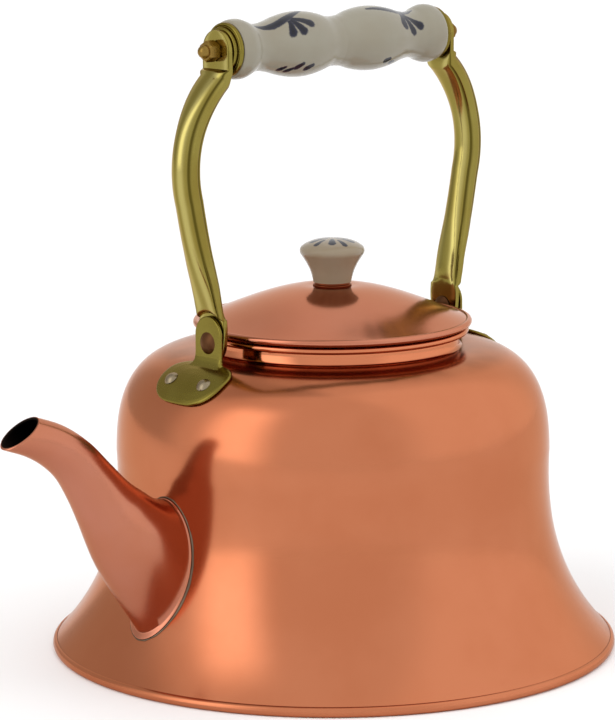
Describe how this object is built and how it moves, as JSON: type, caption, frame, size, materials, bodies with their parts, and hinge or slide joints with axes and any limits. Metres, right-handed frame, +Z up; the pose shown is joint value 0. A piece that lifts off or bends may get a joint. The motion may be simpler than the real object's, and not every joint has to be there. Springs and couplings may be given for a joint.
{
  "type": "kettle",
  "caption": "Copper stovetop kettle with a flared skirt, curved spout, lift-off lid with a porcelain knob, and a swinging brass bail handle with a porcelain grip.",
  "frame": {"origin": "centre of the round underside, on the surface that the kettle stands on", "axes": "+Z up through the lid knob, spout towards -X, handle in the XZ plane when upright, so Y is across the kettle"},
  "size_m": [0.2688, 0.22, 0.248],
  "materials": {
    "copper": "polished",
    "brass": "polished",
    "nut_brass": "satin",
    "rivet_copper": "satin",
    "tin": "satin",
    "porcelain": "gloss"
  },
  "bodies": {
    "kettle": {"body_shell": "copper", "base_plate": "copper", "neck_ring": "copper", "spout": "copper", "spout_solder_seam": "tin", "front_bracket": "brass", "rear_bracket": "brass", "front_bracket_rivets": "tin", "rear_bracket_rivets": "tin", "front_rivet_roves": "tin", "rear_rivet_roves": "tin", "front_pivot_rivet": "rivet_copper", "rear_pivot_rivet": "rivet_copper"},
    "handle": {"front_arm": "brass", "rear_arm": "brass", "grip": "porcelain", "front_grip_cap": "brass", "rear_grip_cap": "brass", "grip_rod": "nut_brass", "front_grip_nut": "nut_brass", "rear_grip_nut": "nut_brass"},
    "lid": {"lid_cover": "copper", "lid_skirt": "copper", "knob_saddle": "copper", "lid_knob": "porcelain", "knob_stud": "nut_brass", "knob_washer": "nut_brass", "knob_nut": "nut_brass"}
  },
  "joints": [
    {"name": "handle_swing", "type": "hinge", "parent": "kettle", "child": "handle", "pos_m": [0, 0, 0.1262], "axis": [1, 0, 0], "range_deg": [-95, 95]},
    {"name": "lid_lift", "type": "slide", "parent": "kettle", "child": "lid", "axis": [0, 0, 1], "range_m": [0, 0.05]}
  ]
}
